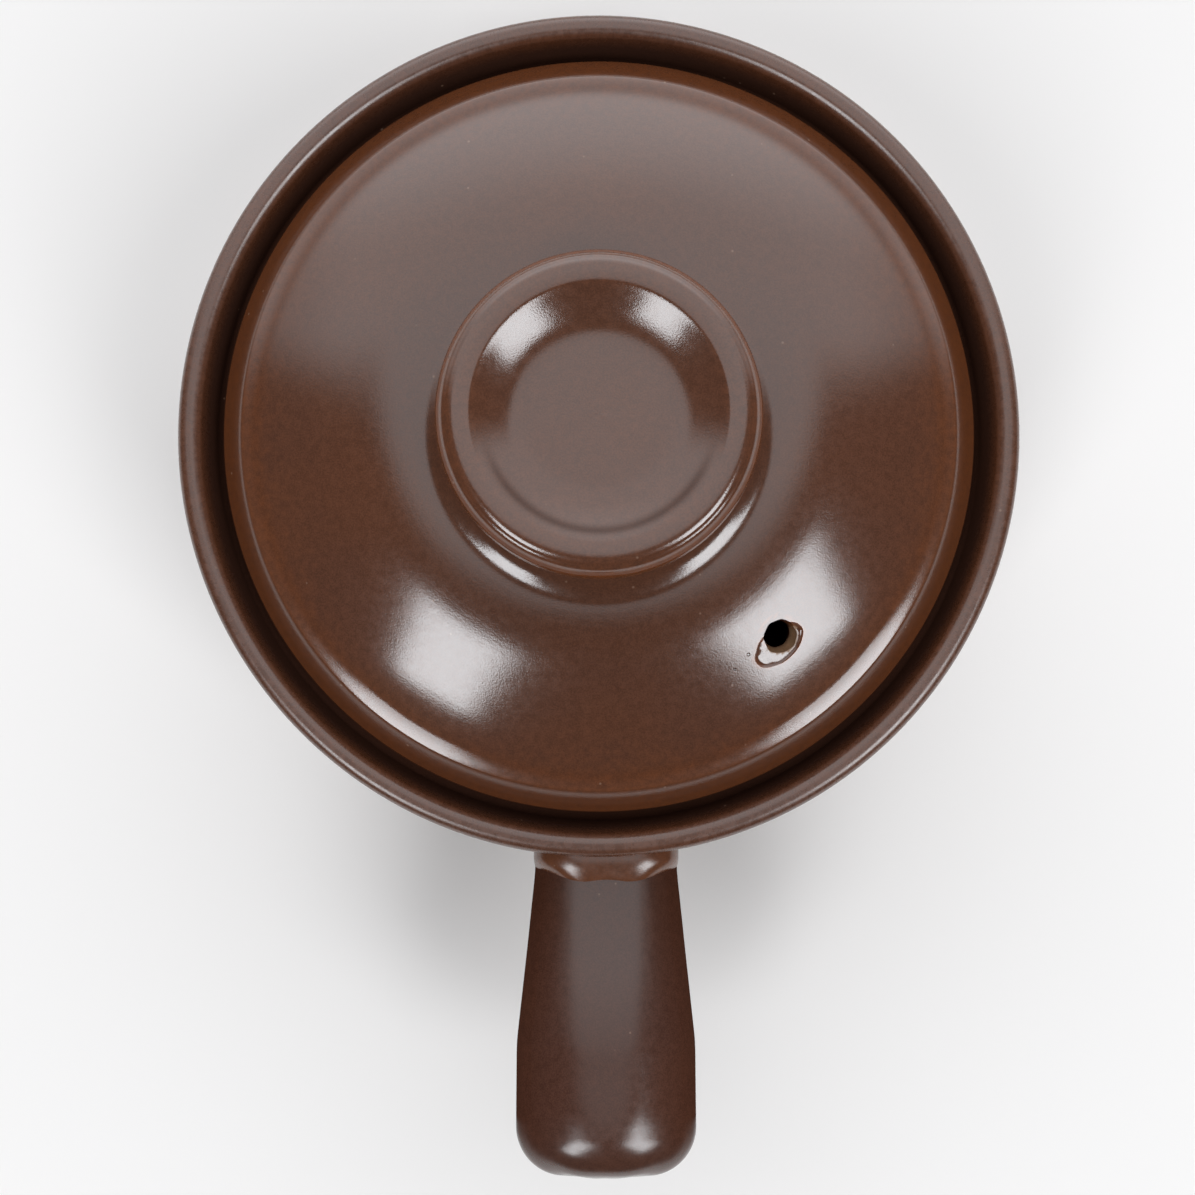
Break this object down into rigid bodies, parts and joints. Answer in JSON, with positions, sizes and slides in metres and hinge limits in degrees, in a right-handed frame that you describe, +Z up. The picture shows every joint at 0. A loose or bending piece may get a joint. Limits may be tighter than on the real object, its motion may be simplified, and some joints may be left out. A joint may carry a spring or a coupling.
{
  "type": "clay cooking pot",
  "caption": "Round glazed clay cooking pot with a foot ring, a galleried rim, a hollow stick handle and a loose domed lid with a dished knob and a steam vent.",
  "frame": {"origin": "on the pot's axis, in the plane of the foot ring that it stands on", "axes": "+Z up along the pot's axis, -Y along the handle, +X to the right of the handle seen from above with the handle towards the viewer"},
  "size_m": [0.18, 0.2558, 0.133],
  "materials": {
    "pot_glaze": "glossy dark brown glaze over buff clay, bare under the foot ring and on the ledge",
    "lid_glaze": "glossy dark brown glaze, orange brown where it thins on edges",
    "slip_glaze": "glossy brown glaze, thin over the slip"
  },
  "bodies": {
    "pot": {"pot_body": "pot_glaze", "stick_handle": "pot_glaze", "handle_slip": "slip_glaze"},
    "lid": {"lid_dome": "lid_glaze", "lid_knob": "lid_glaze", "knob_slip": "slip_glaze"}
  },
  "joints": [
    {"name": "lid_lift", "type": "slide", "parent": "pot", "child": "lid", "axis": [0, 0, 1], "range_m": [0, 0.12]}
  ]
}
